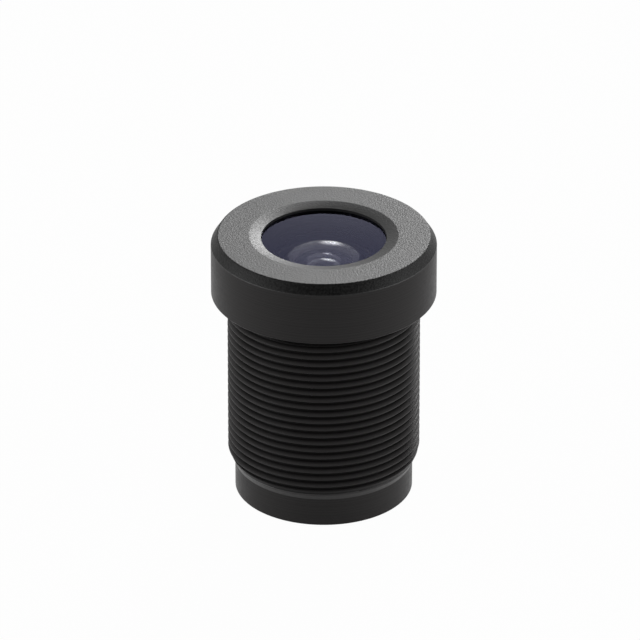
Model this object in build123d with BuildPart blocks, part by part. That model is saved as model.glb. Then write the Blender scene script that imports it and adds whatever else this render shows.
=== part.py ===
from build123d import *
import os

# Board-mount camera lens, millimetres. The optical axis is +Z, with the front glass on top and the
# origin at the centre of the nose end, where the sensor side is.

# Outside of the lens
head_diameter = 14.0
head_length = 4.0
head_chamfer_width = 0.4
head_chamfer_height = 0.6
head_bottom_break = 0.12
nose_diameter = 11.1
nose_length = 1.85
nose_edge_break = 0.05

# Mounting thread on the barrel, M12 x 0.5. The solid has its crests as one plain cylinder, and the
# relief under the head is a little deeper than the roots.
thread_diameter = 12.0
thread_pitch = 0.5
thread_depth_share = 0.6134
thread_allowance = 0.01
thread_lead_in = 1.0
thread_relief_height = 0.6
thread_relief_depth = 0.09

# Front opening of the cap: a shallow cone, then a straight wall down to the glass
opening_diameter = 7.76
cone_diameter = 9.24
cone_depth = 0.16
lip_height = 0.34

# Clearances and margins
lens_clearance = 0.02
cap_clearance = 0.02
filter_clearance = 0.03
seal_clearance = 0.05
shield_margin = 0.05
ledge_margin = 0.15
front_face_margin = 0.18
cap_press_gap = 0.3

# Diameters of the groups inside the barrel
front_element_diameter = 9.5
front_group_diameter = 7.96
rear_group_diameter = 7.76
filter_diameter = 8.7
ledge_opening_diameter = 5.0
stop_opening_diameter = 2.4

# Lengths along the axis, from the nose end to the front
filter_recess = 0.6
filter_thickness = 0.3
filter_gap = 0.5
retaining_ring_thickness = 1.2
shield_thickness = 0.1
rear_element_edge = 1.0
rear_spacer_length = 0.6
flint_edge = 1.6
crown_edge = 0.9
ledge_thickness = 0.5
stop_thickness = 0.15
stop_spacer_length = 0.6
third_element_edge = 1.2
middle_spacer_length = 3.65
second_element_edge = 1.3
front_spacer_length = 1.16
front_element_edge = 1.5
seal_height = 0.6

# Faces of the elements: the width of the flat land round the edge, then the sag of the curved
# part inside it, negative where the face is hollow. Two faces take their curved part from the
# opening they look through, so only their sag is given.
front_element_front_sag = 0.1
front_element_rear = (1.75, -0.83)
second_element_front = (1.88, 0.9)
second_element_rear = (1.88, -0.95)
third_element_front = (1.18, 0.55)
third_element_rear = (1.28, 0.4)
crown_front_sag = 0.3
cement_sag = 0.7
flint_rear = (1.08, -0.35)
rear_element_front = (1.08, 0.45)
rear_element_rear = (1.28, 0.25)

# Spacer walls, retaining ring and seal
spacer_wall = 1.0
spacer_bevel = 0.35
ring_wall = 1.05
ring_bevel = 0.45
ring_slot_width = 0.9
ring_slot_depth = 0.5
seal_bevel = 0.15

# Radii that follow from the sizes above
head_radius = head_diameter / 2
nose_radius = nose_diameter / 2
crest_radius = thread_diameter / 2 - thread_allowance
root_radius = crest_radius - thread_depth_share * thread_pitch
spigot_radius = root_radius - thread_relief_depth
cap_bore_radius = spigot_radius + cap_clearance
opening_radius = opening_diameter / 2
cone_radius = cone_diameter / 2
front_element_radius = front_element_diameter / 2
front_group_radius = front_group_diameter / 2
rear_group_radius = rear_group_diameter / 2
pocket_radius = front_element_radius + lens_clearance
front_bore_radius = front_group_radius + lens_clearance
rear_bore_radius = rear_group_radius + lens_clearance
filter_radius = filter_diameter / 2
filter_seat_radius = filter_radius + filter_clearance
ledge_radius = ledge_opening_diameter / 2
spacer_bore_radius = front_group_radius - spacer_wall

# Lands that follow: the front face stays inside the cap's opening, the crown inside the ledge's
front_element_front = (front_element_radius - opening_radius + front_face_margin, front_element_front_sag)
crown_front = (rear_group_radius - ledge_radius + ledge_margin, crown_front_sag)

# Heights that follow, piece on piece
filter_seat_z = filter_recess + filter_thickness
ring_z = filter_seat_z + filter_gap
rear_shield_z = ring_z + retaining_ring_thickness
rear_element_z = rear_shield_z + shield_thickness
rear_spacer_z = rear_element_z + rear_element_edge
doublet_shield_z = rear_spacer_z + rear_spacer_length
flint_z = doublet_shield_z + shield_thickness
cement_z = flint_z + flint_edge
ledge_z = cement_z + crown_edge
stop_z = ledge_z + ledge_thickness
stop_spacer_z = stop_z + stop_thickness
third_element_z = stop_spacer_z + stop_spacer_length
middle_shield_z = third_element_z + third_element_edge
middle_spacer_z = middle_shield_z + shield_thickness
second_element_z = middle_spacer_z + middle_spacer_length
front_shield_z = second_element_z + second_element_edge
front_spacer_z = front_shield_z + shield_thickness
front_element_z = front_spacer_z + front_spacer_length
front_land_z = front_element_z + front_element_edge
front_z = front_land_z + lip_height
head_bottom_z = front_z - head_length
thread_top_z = head_bottom_z - thread_relief_height
pocket_floor_z = front_element_z - seal_height
spigot_top_z = front_land_z - cap_press_gap


def lens_section(radius, low, high, low_face, high_face):
    """Half section of a round lens between its two flat lands."""
    (low_land, low_sag), (high_land, high_sag) = low_face, high_face
    low_clear = radius - low_land
    high_clear = radius - high_land
    with BuildSketch(Plane.XZ) as section:
        with BuildLine():
            Line((0, high + high_sag), (0, low - low_sag))
            TangentArc((0, low - low_sag), (low_clear, low), tangent=(1, 0))
            if low_land:
                Line((low_clear, low), (radius, low))
            Line((radius, low), (radius, high))
            if high_land:
                Line((radius, high), (high_clear, high))
            TangentArc((0, high + high_sag), (high_clear, high), tangent=(1, 0))
        make_face()
    return section.sketch


def tube_section(inner, outer, low, high):
    """Half section of a plain ring."""
    with BuildSketch(Plane.XZ) as section:
        with BuildLine():
            Polyline((inner, low), (outer, low), (outer, high), (inner, high), close=True)
        make_face()
    return section.sketch


def shield_section(radius, lens_face, low, length):
    """Half section of a ring that lies on a lens's land and clears its curved face."""
    land = lens_face[0]
    return tube_section(radius - land + shield_margin, radius, low, low + length)


os.makedirs("parts", exist_ok=True)

# Lens barrel: one turned piece with the mounting thread outside and stepped bores inside
with BuildPart() as lens_barrel:
    with BuildSketch(Plane.XZ):
        with BuildLine():
            Polyline(
                (filter_seat_radius, 0),
                (nose_radius - nose_edge_break, 0),
                (nose_radius, nose_edge_break),
                (nose_radius, nose_length),
                (crest_radius, nose_length + thread_lead_in),
                (crest_radius, thread_top_z),
                (spigot_radius, thread_top_z),
                (spigot_radius, spigot_top_z),
                (pocket_radius, spigot_top_z),
                (pocket_radius, pocket_floor_z),
                (front_bore_radius, pocket_floor_z),
                (front_bore_radius, stop_z),
                (ledge_radius, stop_z),
                (ledge_radius, ledge_z),
                (rear_bore_radius, ledge_z),
                (rear_bore_radius, filter_seat_z),
                (filter_seat_radius, filter_seat_z),
                close=True,
            )
        make_face()
    revolve(axis=Axis.Z)
lens_barrel.part.label = "lens_barrel"
export_step(lens_barrel.part, "parts/lens_barrel.step")

# Front cap: the wide head, whose lip presses the front glass onto its seal
with BuildPart() as front_cap:
    with BuildSketch(Plane.XZ):
        with BuildLine():
            Polyline(
                (cap_bore_radius, head_bottom_z),
                (head_radius - head_bottom_break, head_bottom_z),
                (head_radius, head_bottom_z + head_bottom_break),
                (head_radius, front_z - head_chamfer_height),
                (head_radius - head_chamfer_width, front_z),
                (cone_radius, front_z),
                (opening_radius, front_z - cone_depth),
                (opening_radius, front_land_z),
                (cap_bore_radius, front_land_z),
                close=True,
            )
        make_face()
    revolve(axis=Axis.Z)
front_cap.part.label = "front_cap"
export_step(front_cap.part, "parts/front_cap.step")

# Front element: nearly flat in front, with a wide hollow at the back, the dome seen through it
with BuildPart() as front_element:
    revolve(
        lens_section(
            front_element_radius, front_element_z, front_land_z, front_element_rear, front_element_front
        ),
        axis=Axis.Z,
    )
front_element.part.label = "front_element"
export_step(front_element.part, "parts/front_element.step")

# Front seal ring: rubber, squeezed flat between the pocket floor and the front element
seal_inner_radius = front_group_radius + seal_clearance
seal_outer_radius = pocket_radius - seal_clearance
with BuildPart() as front_seal_ring:
    with BuildSketch(Plane.XZ) as seal_face:
        with BuildLine():
            Polyline(
                (seal_inner_radius, pocket_floor_z),
                (seal_outer_radius, pocket_floor_z),
                (seal_outer_radius, front_element_z),
                (seal_inner_radius, front_element_z),
                close=True,
            )
        make_face()
        chamfer(seal_face.vertices(), length=seal_bevel)
    revolve(axis=Axis.Z)
front_seal_ring.part.label = "front_seal_ring"
export_step(front_seal_ring.part, "parts/front_seal_ring.step")

# Front spacer: bevelled inside towards the front
with BuildPart() as front_spacer:
    revolve(
        tube_section(
            spacer_bore_radius + shield_margin, front_group_radius, front_spacer_z, front_element_z
        ),
        axis=Axis.Z,
    )
    front_spacer_mouth = front_spacer.edges().group_by(Axis.Z)[-1].sort_by(SortBy.RADIUS)[0]
    chamfer(front_spacer_mouth, length=spacer_bevel)
front_spacer.part.label = "front_spacer"
export_step(front_spacer.part, "parts/front_spacer.step")

# Front light shield: a thin black washer on the second element
with BuildPart() as front_light_shield:
    revolve(
        shield_section(front_group_radius, second_element_front, front_shield_z, shield_thickness),
        axis=Axis.Z,
    )
front_light_shield.part.label = "front_light_shield"
export_step(front_light_shield.part, "parts/front_light_shield.step")

# Second element: a strongly bent meniscus, hollow at the back
with BuildPart() as second_element:
    revolve(
        lens_section(
            front_group_radius, second_element_z, front_shield_z, second_element_rear, second_element_front
        ),
        axis=Axis.Z,
    )
second_element.part.label = "second_element"
export_step(second_element.part, "parts/second_element.step")

# Middle spacer
with BuildPart() as middle_spacer:
    revolve(
        tube_section(spacer_bore_radius, front_group_radius, middle_spacer_z, second_element_z),
        axis=Axis.Z,
    )
    middle_spacer_mouth = middle_spacer.edges().group_by(Axis.Z)[-1].sort_by(SortBy.RADIUS)[0]
    chamfer(middle_spacer_mouth, length=spacer_bevel)
middle_spacer.part.label = "middle_spacer"
export_step(middle_spacer.part, "parts/middle_spacer.step")

# Middle light shield: a thin black washer on the third element
with BuildPart() as middle_light_shield:
    revolve(
        shield_section(front_group_radius, third_element_front, middle_shield_z, shield_thickness),
        axis=Axis.Z,
    )
middle_light_shield.part.label = "middle_light_shield"
export_step(middle_light_shield.part, "parts/middle_light_shield.step")

# Third element: thick in the middle
with BuildPart() as third_element:
    revolve(
        lens_section(
            front_group_radius, third_element_z, middle_shield_z, third_element_rear, third_element_front
        ),
        axis=Axis.Z,
    )
third_element.part.label = "third_element"
export_step(third_element.part, "parts/third_element.step")

# Stop spacer: keeps the third element clear of the aperture
with BuildPart() as stop_spacer:
    revolve(
        shield_section(front_group_radius, third_element_rear, stop_spacer_z, stop_spacer_length),
        axis=Axis.Z,
    )
stop_spacer.part.label = "stop_spacer"
export_step(stop_spacer.part, "parts/stop_spacer.step")

# Aperture stop: a blackened disc with the fixed aperture in it
with BuildPart() as aperture_stop:
    revolve(
        tube_section(stop_opening_diameter / 2, front_group_radius, stop_z, stop_spacer_z),
        axis=Axis.Z,
    )
aperture_stop.part.label = "aperture_stop"
export_step(aperture_stop.part, "parts/aperture_stop.step")

# Cemented doublet: the crown bulges down into the hollow of the flint
with BuildPart() as doublet_crown:
    revolve(
        lens_section(rear_group_radius, cement_z, ledge_z, (0, cement_sag), crown_front),
        axis=Axis.Z,
    )
doublet_crown.part.label = "doublet_crown"
export_step(doublet_crown.part, "parts/doublet_crown.step")

with BuildPart() as doublet_flint:
    revolve(
        lens_section(rear_group_radius, flint_z, cement_z, flint_rear, (0, -cement_sag)),
        axis=Axis.Z,
    )
doublet_flint.part.label = "doublet_flint"
export_step(doublet_flint.part, "parts/doublet_flint.step")

# Doublet light shield: a thin black washer under the doublet
with BuildPart() as doublet_light_shield:
    revolve(
        shield_section(rear_group_radius, flint_rear, doublet_shield_z, shield_thickness),
        axis=Axis.Z,
    )
doublet_light_shield.part.label = "doublet_light_shield"
export_step(doublet_light_shield.part, "parts/doublet_light_shield.step")

# Rear spacer
with BuildPart() as rear_spacer:
    revolve(
        tube_section(rear_group_radius - spacer_wall, rear_group_radius, rear_spacer_z, doublet_shield_z),
        axis=Axis.Z,
    )
rear_spacer.part.label = "rear_spacer"
export_step(rear_spacer.part, "parts/rear_spacer.step")

# Rear element: bulges on both faces
with BuildPart() as rear_element:
    revolve(
        lens_section(
            rear_group_radius, rear_element_z, rear_spacer_z, rear_element_rear, rear_element_front
        ),
        axis=Axis.Z,
    )
rear_element.part.label = "rear_element"
export_step(rear_element.part, "parts/rear_element.step")

# Rear light shield: a thin black washer between the rear element and its ring
with BuildPart() as rear_light_shield:
    revolve(
        shield_section(rear_group_radius, rear_element_rear, rear_shield_z, shield_thickness),
        axis=Axis.Z,
    )
rear_light_shield.part.label = "rear_light_shield"
export_step(rear_light_shield.part, "parts/rear_light_shield.step")

# Rear retaining ring: screwed up against the rear group, with two slots for a spanner
with BuildPart() as rear_retaining_ring:
    revolve(
        tube_section(rear_group_radius - ring_wall, rear_group_radius, ring_z, rear_shield_z),
        axis=Axis.Z,
    )
    ring_mouth = rear_retaining_ring.edges().group_by(Axis.Z)[0].sort_by(SortBy.RADIUS)[0]
    chamfer(ring_mouth, length=ring_bevel)
    with BuildSketch(Plane.XY.offset(ring_z)):
        Rectangle(2 * rear_bore_radius, ring_slot_width)
    extrude(amount=ring_slot_depth, mode=Mode.SUBTRACT)
rear_retaining_ring.part.label = "rear_retaining_ring"
export_step(rear_retaining_ring.part, "parts/rear_retaining_ring.step")

# Infrared-cut filter: a flat disc bonded against the step inside the nose
with BuildPart() as ir_cut_filter:
    with BuildSketch(Plane.XY.offset(filter_recess)):
        Circle(filter_radius)
    extrude(amount=filter_thickness)
ir_cut_filter.part.label = "ir_cut_filter"
export_step(ir_cut_filter.part, "parts/ir_cut_filter.step")
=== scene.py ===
from math import cos, pi, radians, sin, sqrt, tan

import bmesh
import bpy
from mathutils import Matrix, Vector


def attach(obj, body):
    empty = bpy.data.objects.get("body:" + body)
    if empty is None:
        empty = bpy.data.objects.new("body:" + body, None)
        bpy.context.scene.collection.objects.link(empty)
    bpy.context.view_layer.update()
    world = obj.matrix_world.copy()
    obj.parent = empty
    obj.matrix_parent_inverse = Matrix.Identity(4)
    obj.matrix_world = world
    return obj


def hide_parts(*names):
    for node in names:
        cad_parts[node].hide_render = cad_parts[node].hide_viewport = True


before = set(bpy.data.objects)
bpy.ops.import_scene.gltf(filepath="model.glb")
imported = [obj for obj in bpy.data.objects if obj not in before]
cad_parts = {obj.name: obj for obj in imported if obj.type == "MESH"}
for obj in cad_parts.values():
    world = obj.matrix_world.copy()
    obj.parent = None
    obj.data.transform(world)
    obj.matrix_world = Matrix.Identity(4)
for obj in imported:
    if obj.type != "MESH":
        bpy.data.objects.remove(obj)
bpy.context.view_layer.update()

# Board lens standing on its nose. Sizes are in millimetres and become metres in each mesh.
MM = 0.001
WELD = 0.0004

# Head, from the outside to the land that presses on the front glass
HEAD_RADIUS = 7.0
HEAD_BOTTOM = 13.5
FRONT = 17.5
CHAMFER_WIDTH = 0.4
CHAMFER_FOOT = FRONT - 0.6
CONE_RADIUS = 4.62
CONE_FOOT = 17.34
OPENING_RADIUS = 3.88
LAND = 17.16
CAP_BORE = 5.6133

# Barrel outside
NOSE_RADIUS = 5.55
NOSE_TOP = 1.85
NOSE_BREAK = 0.05
SPIGOT_RADIUS = 5.5933
SPIGOT_TOP = 16.86

# Barrel inside, from the nose up
FILTER_BORE = 4.38
FILTER_SEAT = 0.9
REAR_BORE = 3.9
LEDGE_BOTTOM = 6.9
LEDGE_BORE = 2.5
LEDGE_TOP = 7.4
FRONT_BORE = 4.0
POCKET_RADIUS = 4.77
POCKET_FLOOR = 15.06

# Mounting thread
PITCH = 0.5
CREST_RADIUS = 5.99
ROOT_RADIUS = 5.6833
LEAD_IN_TOP = 2.85
BRIGHT_LEAD_IN_TOP = 2.28
THREAD_START = 1.3
THREAD_FOOT = 2.12
THREAD_TOP = 12.9
STEPS_PER_TURN = 144


# Shapes

def finish_piece(name, bm, materials, node, sharp=30):
    """Turn a bmesh into a smooth-shaded piece that stands for a solid."""
    bmesh.ops.remove_doubles(bm, verts=bm.verts, dist=WELD * MM)
    bmesh.ops.recalc_face_normals(bm, faces=bm.faces)
    mesh = bpy.data.meshes.new(name)
    bm.to_mesh(mesh)
    bm.free()
    for material in materials:
        mesh.materials.append(material)
    mesh.shade_smooth()
    mesh.set_sharp_from_angle(angle=radians(sharp))
    piece = bpy.data.objects.new(name, mesh)
    bpy.context.collection.objects.link(piece)
    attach(piece, "root")
    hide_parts(node)
    return piece


def draw_line(bm, points):
    """Join (radius, height) points by edges in the XZ plane."""
    verts = [bm.verts.new((r * MM, 0, z * MM)) for r, z in points]
    for pair in zip(verts, verts[1:]):
        bm.edges.new(pair)
    return verts


def outline(bm, points):
    """Draw a profile in the XZ plane from (radius, height, rounding) points."""
    verts = draw_line(bm, [point[:2] for point in points])
    corners = [(vert, point[2]) for vert, point in zip(verts, points) if point[2]]
    for corner, rounding in corners:
        bmesh.ops.bevel(
            bm, geom=[corner], offset=rounding * MM, offset_type="OFFSET", affect="VERTICES",
            segments=4, profile=0.5, material=-1,
        )


def turn(bm, steps):
    """Spin everything drawn so far once round the optical axis."""
    bmesh.ops.spin(
        bm, geom=bm.verts[:] + bm.edges[:], cent=(0, 0, 0), axis=(0, 0, 1), dvec=(0, 0, 0),
        angle=2 * pi, steps=steps, use_merge=True, use_duplicate=False,
    )


def reach_of(face):
    """A face's distance from the axis and its height, in millimetres."""
    centre = face.calc_center_median() / MM
    return Vector((centre.x, centre.y)).length, centre.z


def arc_points(clear, base, sag):
    """Points of a ground face from the axis to its edge, bulging by the sag."""
    radius = (clear * clear + sag * sag) / (2 * abs(sag))
    side = 1 if sag > 0 else -1
    rings = 36
    points = []
    for step in range(rings + 1):
        r = clear * step / rings
        height = sqrt(radius * radius - r * r) - (radius - abs(sag))
        points.append((r, base + side * height, 0))
    return points


def lens_body(name, node, radius, low, high, low_face, high_face, materials):
    """A round lens; each face is a clear radius and a bulge.

    The materials are the front face's, the edge's and rear land's, the rear face's.
    """
    bm = bmesh.new()
    low_clear, low_sag = low_face
    high_clear, high_sag = high_face
    front = arc_points(high_clear, high, high_sag)
    back = arc_points(low_clear, low, -low_sag)
    edge_break, land_start = 0.06, 0.03
    side = [
        (high_clear + land_start, high, 0),
        (radius - edge_break, high, 0), (radius, high - edge_break, 0),
        (radius, low + edge_break, 0), (radius - edge_break, low, 0),
        (low_clear + land_start, low, 0),
    ]
    outline(bm, front + side + back[::-1])
    turn(bm, 256)
    bmesh.ops.remove_doubles(bm, verts=bm.verts, dist=WELD * MM)
    edge, rear = 1, 2
    for face in bm.faces:
        reach, height = reach_of(face)
        if height < high - 0.001:
            face.material_index = edge if reach > low_clear else rear
    return finish_piece(name, bm, materials, node)


def make_front_cap(materials):
    """The wide head; its materials are the face's, side's, cone's, chamfer's and opening wall's."""
    bm = bmesh.new()
    bottom_break = 0.12
    outline(bm, [
        (CAP_BORE, LAND, 0),
        (CAP_BORE, HEAD_BOTTOM, 0.03),
        (HEAD_RADIUS - bottom_break, HEAD_BOTTOM, 0.03),
        (HEAD_RADIUS, HEAD_BOTTOM + bottom_break, 0.03),
        (HEAD_RADIUS, CHAMFER_FOOT, 0.05),
        (HEAD_RADIUS - CHAMFER_WIDTH, FRONT, 0.05),
        (HEAD_RADIUS - CHAMFER_WIDTH - 0.1, FRONT, 0),
        (CONE_RADIUS + 0.06, FRONT, 0),
        (CONE_RADIUS, FRONT, 0.02),
        (OPENING_RADIUS, CONE_FOOT, 0.02),
        (OPENING_RADIUS, LAND, 0.02),
        (CAP_BORE, LAND, 0),
    ])
    turn(bm, 192)
    side, cone, chamfer, wall = 1, 2, 3, 4
    for face in bm.faces:
        reach, height = reach_of(face)
        if height < CONE_FOOT and reach < CAP_BORE + 0.1:
            face.material_index = wall
        elif reach < CONE_RADIUS or abs(height - CHAMFER_FOOT) < 0.03:
            face.material_index = cone
        elif reach > HEAD_RADIUS - 0.02 or height < HEAD_BOTTOM + 0.2:
            face.material_index = side
        elif reach > HEAD_RADIUS - CHAMFER_WIDTH - 0.05:
            face.material_index = chamfer
    return finish_piece("front_cap_turned", bm, materials, "front_cap")


def thread_ridge():
    """One pitch of the thread's profile, rounded in the root and a little at the crest."""
    depth = CREST_RADIUS - ROOT_RADIUS
    flank = depth * tan(radians(30))
    crest = PITCH / 8
    root = PITCH - crest - 2 * flank
    root_round, crest_round = 0.012, 0.014
    straight = depth - root_round - crest_round
    rise = []
    for k in range(5):
        rise.append((ROOT_RADIUS + root_round + straight * k / 4, root + flank * (0.04 + 0.22 * k)))
    fall = [(r, PITCH + root - z) for r, z in rise[::-1]]
    return [
        (ROOT_RADIUS, root * 0.35),
        (ROOT_RADIUS, root * 0.65),
        *rise,
        (CREST_RADIUS, root + flank + crest * 0.12),
        (CREST_RADIUS, root + flank + crest * 0.88),
        *fall,
        (ROOT_RADIUS, PITCH + root * 0.35),
    ]


def wind_thread(bm, low, high):
    """A right-hand helical thread between two heights, cut square at both ends."""
    draw_line(bm, [(r, THREAD_START + z) for r, z in thread_ridge()])
    bmesh.ops.spin(
        bm, geom=bm.verts[:] + bm.edges[:], cent=(0, 0, 0), axis=(0, 0, 1),
        dvec=(0, 0, PITCH * MM / STEPS_PER_TURN), angle=2 * pi, steps=STEPS_PER_TURN,
        use_merge=False, use_duplicate=False,
    )
    one_turn = bm.verts[:] + bm.edges[:] + bm.faces[:]
    for turn_number in range(1, int((high - THREAD_START) / PITCH) + 2):
        copy = bmesh.ops.duplicate(bm, geom=one_turn)["geom"]
        moved = [item for item in copy if isinstance(item, bmesh.types.BMVert)]
        bmesh.ops.translate(bm, verts=moved, vec=(0, 0, turn_number * PITCH * MM))
    bmesh.ops.remove_doubles(bm, verts=bm.verts, dist=WELD * MM)
    for height, side in ((low, -1), (high, 1)):
        bmesh.ops.bisect_plane(
            bm, geom=bm.verts[:] + bm.edges[:] + bm.faces[:], dist=0.00001 * MM,
            plane_co=(0, 0, height * MM), plane_no=(0, 0, side), clear_outer=True,
        )


def open_rim(bm, height):
    """Open edges that lie at one height."""
    return [
        edge for edge in bm.edges
        if len(edge.link_faces) == 1 and all(abs(v.co.z - height * MM) < 0.001 * MM for v in edge.verts)
    ]


def make_barrel(materials):
    """The barrel, threaded and turned; its materials are the outside's, bores', lead-in's and thread's."""
    bm = bmesh.new()
    wind_thread(bm, THREAD_FOOT, THREAD_TOP)
    slope = (CREST_RADIUS - NOSE_RADIUS) / (LEAD_IN_TOP - NOSE_TOP)
    for vert in bm.verts:
        reach = Vector((vert.co.x, vert.co.y)).length / MM
        limit = NOSE_RADIUS + slope * (vert.co.z / MM - NOSE_TOP)
        if reach > limit:
            vert.co.x *= limit / reach
            vert.co.y *= limit / reach
    thread_rims = open_rim(bm, THREAD_FOOT), open_rim(bm, THREAD_TOP)

    below, above = THREAD_FOOT - 0.06, THREAD_TOP + 0.02
    body = bmesh.new()
    outline(body, [
        (NOSE_RADIUS + slope * (below - NOSE_TOP), below, 0),
        (NOSE_RADIUS, NOSE_TOP, 0.04),
        (NOSE_RADIUS, NOSE_BREAK, 0.02),
        (NOSE_RADIUS - NOSE_BREAK, 0, 0.02),
        (FILTER_BORE, 0, 0.04),
        (FILTER_BORE, FILTER_SEAT, 0),
        (REAR_BORE, FILTER_SEAT, 0),
        (REAR_BORE, LEDGE_BOTTOM, 0),
        (LEDGE_BORE, LEDGE_BOTTOM, 0),
        (LEDGE_BORE, LEDGE_TOP, 0),
        (FRONT_BORE, LEDGE_TOP, 0),
        (FRONT_BORE, POCKET_FLOOR, 0),
        (POCKET_RADIUS, POCKET_FLOOR, 0),
        (POCKET_RADIUS, SPIGOT_TOP, 0.05),
        (SPIGOT_RADIUS, SPIGOT_TOP, 0.05),
        (SPIGOT_RADIUS, above, 0),
    ])
    turn(body, STEPS_PER_TURN)
    bmesh.ops.remove_doubles(body, verts=body.verts, dist=WELD * MM)
    outside, bores, lead_in, thread = 0, 1, 2, 3
    for face in body.faces:
        if reach_of(face)[0] < NOSE_RADIUS - 0.3:
            face.material_index = bores
    spare = bpy.data.meshes.new("turned body")
    body.to_mesh(spare)
    body.free()
    bm.from_mesh(spare)
    bpy.data.meshes.remove(spare)
    bmesh.ops.bridge_loops(bm, edges=thread_rims[0] + open_rim(bm, below))
    bmesh.ops.bridge_loops(bm, edges=thread_rims[1] + open_rim(bm, above))
    for face in bm.faces:
        height = reach_of(face)[1]
        if face.material_index == outside and NOSE_TOP < height < THREAD_TOP:
            face.material_index = lead_in if height < BRIGHT_LEAD_IN_TOP else thread
    return finish_piece("lens_barrel_threaded", bm, materials, "lens_barrel", 35)


# Finishes

def new_effect(name, inputs, outputs):
    """An empty shared effect: its group, nodes, links, start and end."""
    group = bpy.data.node_groups.new(name, "ShaderNodeTree")
    for socket in inputs:
        group.interface.new_socket(socket, in_out="INPUT", socket_type="NodeSocketFloat")
    for socket in outputs:
        group.interface.new_socket(socket, in_out="OUTPUT", socket_type="NodeSocketFloat")
    nodes = group.nodes
    return group, nodes, group.links, nodes.new("NodeGroupInput"), nodes.new("NodeGroupOutput")


def add_mask(nodes, links, value, low, high):
    """Spread the values between two limits over nought to one."""
    mask = nodes.new("ShaderNodeMapRange")
    mask.inputs["From Min"].default_value = low
    mask.inputs["From Max"].default_value = high
    links.new(value, mask.inputs["Value"])
    return mask.outputs["Result"]


def speckle_group():
    """Fine grain over the whole surface, as a height and as a mask."""
    group, nodes, links, start, end = new_effect("fine speckle", ["Grain Size"], ["Height", "Mask"])
    place = nodes.new("ShaderNodeTexCoord")
    per_metre = nodes.new("ShaderNodeMath")
    per_metre.operation = "DIVIDE"
    per_metre.inputs[0].default_value = 1.0
    links.new(start.outputs["Grain Size"], per_metre.inputs[1])
    grain = nodes.new("ShaderNodeTexNoise")
    grain.inputs["Detail"].default_value = 2.0
    links.new(place.outputs["Object"], grain.inputs["Vector"])
    links.new(per_metre.outputs[0], grain.inputs["Scale"])
    links.new(grain.outputs["Fac"], end.inputs["Height"])
    links.new(add_mask(nodes, links, grain.outputs["Fac"], 0.35, 0.65), end.inputs["Mask"])
    return group


def tool_marks_group():
    """Fine turning lines that run round the axis."""
    group, nodes, links, start, end = new_effect("turning lines", ["Line Width"], ["Height", "Mask"])
    place = nodes.new("ShaderNodeTexCoord")
    apart = nodes.new("ShaderNodeSeparateXYZ")
    links.new(place.outputs["Object"], apart.inputs["Vector"])
    across = nodes.new("ShaderNodeMath")
    across.operation = "DIVIDE"
    links.new(apart.outputs["Z"], across.inputs[0])
    links.new(start.outputs["Line Width"], across.inputs[1])
    lines = nodes.new("ShaderNodeTexNoise")
    lines.noise_dimensions = "1D"
    lines.inputs["Detail"].default_value = 2.0
    lines.inputs["Scale"].default_value = 1.0
    links.new(across.outputs[0], lines.inputs["W"])
    links.new(lines.outputs["Fac"], end.inputs["Height"])
    links.new(add_mask(nodes, links, lines.outputs["Fac"], 0.3, 0.7), end.inputs["Mask"])
    return group


def painted_thread_shade_group():
    """Painted shade: a mask that rises from the thread's root to near its crest, so the roots are painted
    dark and the crests light.
    """
    group, nodes, links, _, end = new_effect("painted thread shade", [], ["Mask"])
    place = nodes.new("ShaderNodeTexCoord")
    level = nodes.new("ShaderNodeVectorMath")
    level.operation = "MULTIPLY"
    level.inputs[1].default_value = (1, 1, 0)
    links.new(place.outputs["Object"], level.inputs[0])
    reach = nodes.new("ShaderNodeVectorMath")
    reach.operation = "LENGTH"
    links.new(level.outputs["Vector"], reach.inputs[0])
    dark_up_to, light_from = (ROOT_RADIUS + 0.06) * MM, (CREST_RADIUS - 0.08) * MM
    links.new(add_mask(nodes, links, reach.outputs["Value"], dark_up_to, light_from), end.inputs["Mask"])
    return group


def new_material(name, base, roughness, specular):
    """A plain Principled material, to which each finish adds its own detail."""
    material = bpy.data.materials.new(name)
    material.use_nodes = True
    shader = material.node_tree.nodes["Principled BSDF"]
    shader.inputs["Base Color"].default_value = (*base, 1)
    shader.inputs["Roughness"].default_value = roughness
    shader.inputs["Specular IOR Level"].default_value = specular
    return material, material.node_tree.nodes, material.node_tree.links, shader


def add_group(nodes, group, **values):
    """Place a shared effect in a material with its own values."""
    node = nodes.new("ShaderNodeGroup")
    node.node_tree = group
    for name, value in values.items():
        node.inputs[name.replace("_", " ")].default_value = value
    return node


def add_bump(nodes, links, shader, height, strength, distance):
    """Feed a height into the shader's normal; the distance is in millimetres."""
    bump = nodes.new("ShaderNodeBump")
    bump.inputs["Strength"].default_value = strength
    bump.inputs["Distance"].default_value = distance * MM
    links.new(height, bump.inputs["Height"])
    links.new(bump.outputs["Normal"], shader.inputs["Normal"])


def vary(nodes, links, mask, low, high, target):
    """Let a value wander between two limits with a mask."""
    spread = nodes.new("ShaderNodeMapRange")
    spread.inputs["To Min"].default_value = low
    spread.inputs["To Max"].default_value = high
    links.new(mask, spread.inputs["Value"])
    links.new(spread.outputs["Result"], target)


def vary_colour(nodes, links, mask, dark, light, target):
    """Let a colour wander between two tones with a mask."""
    mix = nodes.new("ShaderNodeMix")
    mix.data_type = "RGBA"
    mix.inputs["A"].default_value = (*dark, 1)
    mix.inputs["B"].default_value = (*light, 1)
    links.new(mask, mix.inputs["Factor"])
    links.new(mix.outputs["Result"], target)


def blasted_black(name, speckle, specular, relief=0.55):
    """Black anodised aluminium, bead blasted before it was dyed."""
    material, nodes, links, shader = new_material(name, (0.007, 0.007, 0.007), 0.42, specular)
    grain = add_group(nodes, speckle, Grain_Size=0.12 * MM)
    add_bump(nodes, links, shader, grain.outputs["Height"], relief, 0.03)
    vary(nodes, links, grain.outputs["Mask"], 0.38, 0.5, shader.inputs["Roughness"])
    vary_colour(
        nodes, links, grain.outputs["Mask"], (0.003, 0.003, 0.003), (0.012, 0.012, 0.012),
        shader.inputs["Base Color"],
    )
    return material


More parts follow.
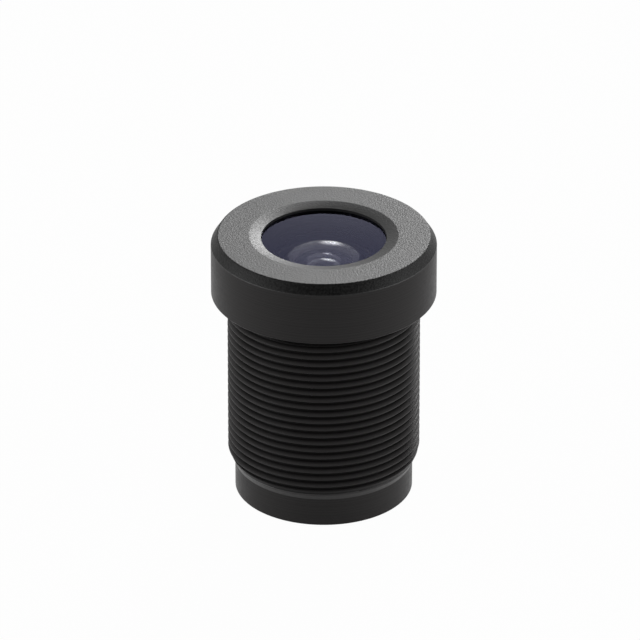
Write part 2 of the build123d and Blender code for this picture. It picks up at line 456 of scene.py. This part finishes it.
def turned_black(name, speckle, tool_marks, specular, dark=0.024, light=0.038, shade=None):
    """Black anodised aluminium as it left the lathe.

    Its tone follows the turning lines, or a painted shade where one is given.
    """
    material, nodes, links, shader = new_material(name, (light, light, light), 0.38, specular)
    lines = add_group(nodes, tool_marks, Line_Width=0.04 * MM)
    add_bump(nodes, links, shader, lines.outputs["Height"], 0.15, 0.004)
    grain = add_group(nodes, speckle, Grain_Size=0.25 * MM)
    vary(nodes, links, grain.outputs["Mask"], 0.35, 0.43, shader.inputs["Roughness"])
    # where a painted shade is given, it sets the colour in place of the turning lines
    tones = add_group(nodes, shade) if shade else lines
    vary_colour(
        nodes, links, tones.outputs["Mask"], (dark, dark * 0.96, dark * 0.96),
        (light, light * 0.96, light * 0.96), shader.inputs["Base Color"],
    )
    return material


def matt_black(name, speckle, tone, roughness, grain_size, specular=0.15):
    """Matt black of the bores, rings, films, paint and rubber; the grain is in millimetres."""
    material, nodes, links, shader = new_material(name, (tone, tone, tone), roughness, specular)
    grain = add_group(nodes, speckle, Grain_Size=grain_size * MM)
    add_bump(nodes, links, shader, grain.outputs["Height"], 0.3, 0.01)
    vary(nodes, links, grain.outputs["Mask"], roughness - 0.05, roughness + 0.05, shader.inputs["Roughness"])
    return material


def glass(name, speckle, tint, ior, coating):
    """Polished glass, with a coating that tints and weakens its reflection, and a faint haze."""
    material, nodes, links, shader = new_material(name, tint, 0.0, 0.5)
    shader.inputs["Transmission Weight"].default_value = 1.0
    shader.inputs["IOR"].default_value = ior
    shader.inputs["Specular Tint"].default_value = (*coating, 1)
    haze = add_group(nodes, speckle, Grain_Size=2.5 * MM)
    faded = tuple(part * 0.97 for part in tint)
    vary_colour(nodes, links, haze.outputs["Mask"], faded, tint, shader.inputs["Base Color"])
    return material


# Setting

def combine(nodes, links, operation, first, second):
    """One arithmetic step on two values."""
    step = nodes.new("ShaderNodeMath")
    step.operation = operation
    links.new(first, step.inputs[0])
    links.new(second, step.inputs[1])
    return step.outputs[0]


def shown_white(nodes, links):
    """One for camera, glossy and transmission rays, which see the white background."""
    path = nodes.new("ShaderNodeLightPath").outputs
    seen = combine(nodes, links, "MAXIMUM", path["Is Camera Ray"], path["Is Glossy Ray"])
    return combine(nodes, links, "MAXIMUM", seen, path["Is Transmission Ray"])


def make_floor():
    """A plain white floor, a hair below the nose, that keeps a faint shadow."""
    bm = bmesh.new()
    bmesh.ops.create_grid(bm, x_segments=1, y_segments=1, size=1.0)
    bmesh.ops.translate(bm, verts=bm.verts, vec=(0, 0, -0.01 * MM))
    mesh = bpy.data.meshes.new("floor")
    bm.to_mesh(mesh)
    bm.free()
    material = bpy.data.materials.new("white floor")
    material.use_nodes = True
    nodes, links = material.node_tree.nodes, material.node_tree.links
    nodes.remove(nodes["Principled BSDF"])
    plain = nodes.new("ShaderNodeBsdfDiffuse")
    plain.inputs["Color"].default_value = (0.4, 0.4, 0.4, 1)
    glow = nodes.new("ShaderNodeEmission")
    glow.inputs["Strength"].default_value = 1.0
    glow_share = nodes.new("ShaderNodeMath")
    glow_share.operation = "MULTIPLY"
    glow_share.inputs[1].default_value = 0.98
    links.new(shown_white(nodes, links), glow_share.inputs[0])
    mix = nodes.new("ShaderNodeMixShader")
    links.new(glow_share.outputs[0], mix.inputs["Fac"])
    links.new(plain.outputs["BSDF"], mix.inputs[1])
    links.new(glow.outputs["Emission"], mix.inputs[2])
    links.new(mix.outputs["Shader"], nodes["Material Output"].inputs["Surface"])
    mesh.materials.append(material)
    floor = bpy.data.objects.new("floor", mesh)
    bpy.context.collection.objects.link(floor)


def toward(azimuth, elevation):
    """A unit vector; azimuth counts from +Y towards +X."""
    a, e = radians(azimuth), radians(elevation)
    return Vector((sin(a) * cos(e), cos(a) * cos(e), sin(e)))


def dim_patch(nodes, links, place, light, centre, inner, outer, level):
    """Dim the sky round one direction, fully within the inner angle and not past the outer one."""
    nearness = nodes.new("ShaderNodeVectorMath")
    nearness.operation = "DOT_PRODUCT"
    nearness.inputs[1].default_value = toward(*centre)
    links.new(place.outputs["Generated"], nearness.inputs[0])
    patch = nodes.new("ShaderNodeMapRange")
    patch.inputs["From Min"].default_value = cos(radians(outer))
    patch.inputs["From Max"].default_value = cos(radians(inner))
    patch.inputs["To Min"].default_value = 1.0
    patch.inputs["To Max"].default_value = level
    links.new(nearness.outputs["Value"], patch.inputs["Value"])
    return combine(nodes, links, "MULTIPLY", light, patch.outputs["Result"])


def make_world():
    """Soft light all round, dark above the camera and a little dimmer behind the object."""
    world = bpy.data.worlds.new("studio")
    bpy.context.scene.world = world
    world.use_nodes = True
    nodes, links = world.node_tree.nodes, world.node_tree.links
    strength = nodes.new("ShaderNodeMapRange")
    strength.inputs["To Min"].default_value = 0.2
    strength.inputs["To Max"].default_value = 1.0
    links.new(shown_white(nodes, links), strength.inputs["Value"])
    place = nodes.new("ShaderNodeTexCoord")
    light = strength.outputs["Result"]
    light = dim_patch(nodes, links, place, light, centre=(180, 58), inner=28, outer=44, level=0.05)
    light = dim_patch(nodes, links, place, light, centre=(-5, 28), inner=5, outer=15, level=0.68)
    links.new(light, nodes["Background"].inputs["Strength"])
    nodes["Background"].inputs["Color"].default_value = (1, 1, 1, 1)


def fade_edge(light):
    """Let a panel fade from its middle to its edge."""
    light.use_nodes = True
    nodes, links = light.node_tree.nodes, light.node_tree.links
    place = nodes.new("ShaderNodeNewGeometry")
    reach = nodes.new("ShaderNodeVectorMath")
    reach.operation = "DISTANCE"
    reach.inputs[1].default_value = (0.5, 0.5, 0.0)
    links.new(place.outputs["Parametric"], reach.inputs[0])
    fade = nodes.new("ShaderNodeMapRange")
    fade.interpolation_type = "SMOOTHSTEP"
    fade.inputs["From Min"].default_value = 0.5
    fade.inputs["From Max"].default_value = 0.0
    links.new(reach.outputs["Value"], fade.inputs["Value"])
    links.new(fade.outputs["Result"], nodes["Emission"].inputs["Strength"])


def softbox(name, azimuth, elevation, width, height, radiance, distance=0.6):
    """A lamp panel that faces the object; its sizes are in metres."""
    light = bpy.data.lights.new(name, "AREA")
    light.shape = "RECTANGLE"
    light.size = width
    light.size_y = height
    light.energy = radiance * pi * width * height
    panel = bpy.data.objects.new(name, light)
    bpy.context.collection.objects.link(panel)
    place = toward(azimuth, elevation) * distance
    panel.matrix_world = Matrix.Translation(place) @ place.to_track_quat("Z", "Y").to_matrix().to_4x4()
    panel.visible_camera = False
    return panel


def make_lamps():
    """A broad panel behind on the right and one at each side, and a soft glow for the glass.

    Only rays that have passed through glass meet the glow, and they miss the panels.
    """
    panels = [
        softbox("back panel", 18.5, 25, 0.84, 1.6, 12.6, 2.4),
        softbox("left panel", -100, 8, 0.6, 0.6, 4.5),
        softbox("right panel", 100, 8, 0.6, 0.6, 4.5),
    ]
    for panel in panels:
        panel.visible_transmission = False
    glow = softbox("glass glow", 12, 26, 1.9, 1.7, 8.0, 2.4)
    glow.visible_diffuse = False
    glow.visible_glossy = False
    fade_edge(glow.data)


def make_camera():
    """The photograph's view: a long lens, half a metre away, looking down at 28 degrees."""
    distance = 0.5
    data = bpy.data.cameras.new("camera")
    data.lens = 452.5
    data.sensor_width = 36.0
    camera = bpy.data.objects.new("camera", data)
    bpy.context.collection.objects.link(camera)
    elevation = radians(27.99)
    aim = Vector((-0.236, 0, 11.526)) * MM
    camera.location = aim + Vector((0, -cos(elevation), sin(elevation))) * distance
    camera.rotation_euler = (pi / 2 - elevation, 0, 0)
    bpy.context.scene.camera = camera


def dress_nodes(finishes):
    """Give the solids that stay their finish."""
    for node, material in finishes.items():
        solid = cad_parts[node]
        solid.data.materials.clear()
        solid.data.materials.append(material)


def main():
    bpy.context.scene.view_settings.view_transform = "Standard"
    speckle = speckle_group()
    tool_marks = tool_marks_group()
    face_finish = blasted_black("blasted face", speckle, 0.5)
    cone_finish = blasted_black("blasted cone", speckle, 0.29)
    chamfer_finish = blasted_black("blasted chamfer", speckle, 0.09, relief=1.0)
    turned = turned_black("turned black anodise", speckle, tool_marks, 0.05)
    lead_in = turned_black("turned lead-in", speckle, tool_marks, 0.22)
    # the thread's colour is painted shade: dark in the roots and lighter toward the crests
    thread = turned_black(
        "cut thread with painted root shade", speckle, tool_marks, 0.05, dark=0.007, light=0.034, shade=painted_thread_shade_group(),
    )
    inside = matt_black("matt black bore", speckle, 0.008, 0.6, 0.15)
    ring = matt_black("matt black ring", speckle, 0.01, 0.5, 0.12)
    film = matt_black("black film", speckle, 0.008, 0.65, 0.2)
    paint = matt_black("black edge paint", speckle, 0.002, 0.6, 0.1, specular=0.0)
    rubber = matt_black("black rubber", speckle, 0.015, 0.7, 0.2)
    coated = glass("coated glass", speckle, (0.97, 0.98, 1.0), 1.5, (0.02, 0.05, 1.0))
    inner = glass("inner coated glass", speckle, (0.97, 0.98, 1.0), 1.5, (0.7, 0.7, 0.95))
    filter_glass = glass("filter glass", speckle, (0.75, 0.92, 0.95), 1.52, (1.0, 0.55, 0.5))

    make_front_cap([face_finish, turned, cone_finish, chamfer_finish, inside])
    make_barrel([turned, inside, lead_in, thread])
    lens_body(
        "front_element_ground", "front_element", radius=4.75, low=15.66, high=LAND,
        low_face=(3.0, -0.83), high_face=(3.7, 0.1), materials=[coated, paint, inner],
    )
    lens_body(
        "second_element_ground", "second_element", radius=3.98, low=13.1, high=14.4,
        low_face=(2.1, -0.95), high_face=(2.1, 0.9), materials=[inner, paint, inner],
    )
    lens_body(
        "third_element_ground", "third_element", radius=3.98, low=8.15, high=9.35,
        low_face=(2.7, 0.4), high_face=(2.8, 0.55), materials=[inner, paint, inner],
    )
    dress_nodes({
        "front_seal_ring": rubber, "front_spacer": ring, "front_light_shield": film,
        "middle_spacer": ring, "middle_light_shield": film, "stop_spacer": ring, "aperture_stop": ring,
        "doublet_crown": coated, "doublet_flint": coated, "doublet_light_shield": film,
        "rear_spacer": ring, "rear_element": coated, "rear_light_shield": film,
        "rear_retaining_ring": ring, "ir_cut_filter": filter_glass,
    })
    make_floor()
    make_world()
    make_lamps()
    make_camera()


main()
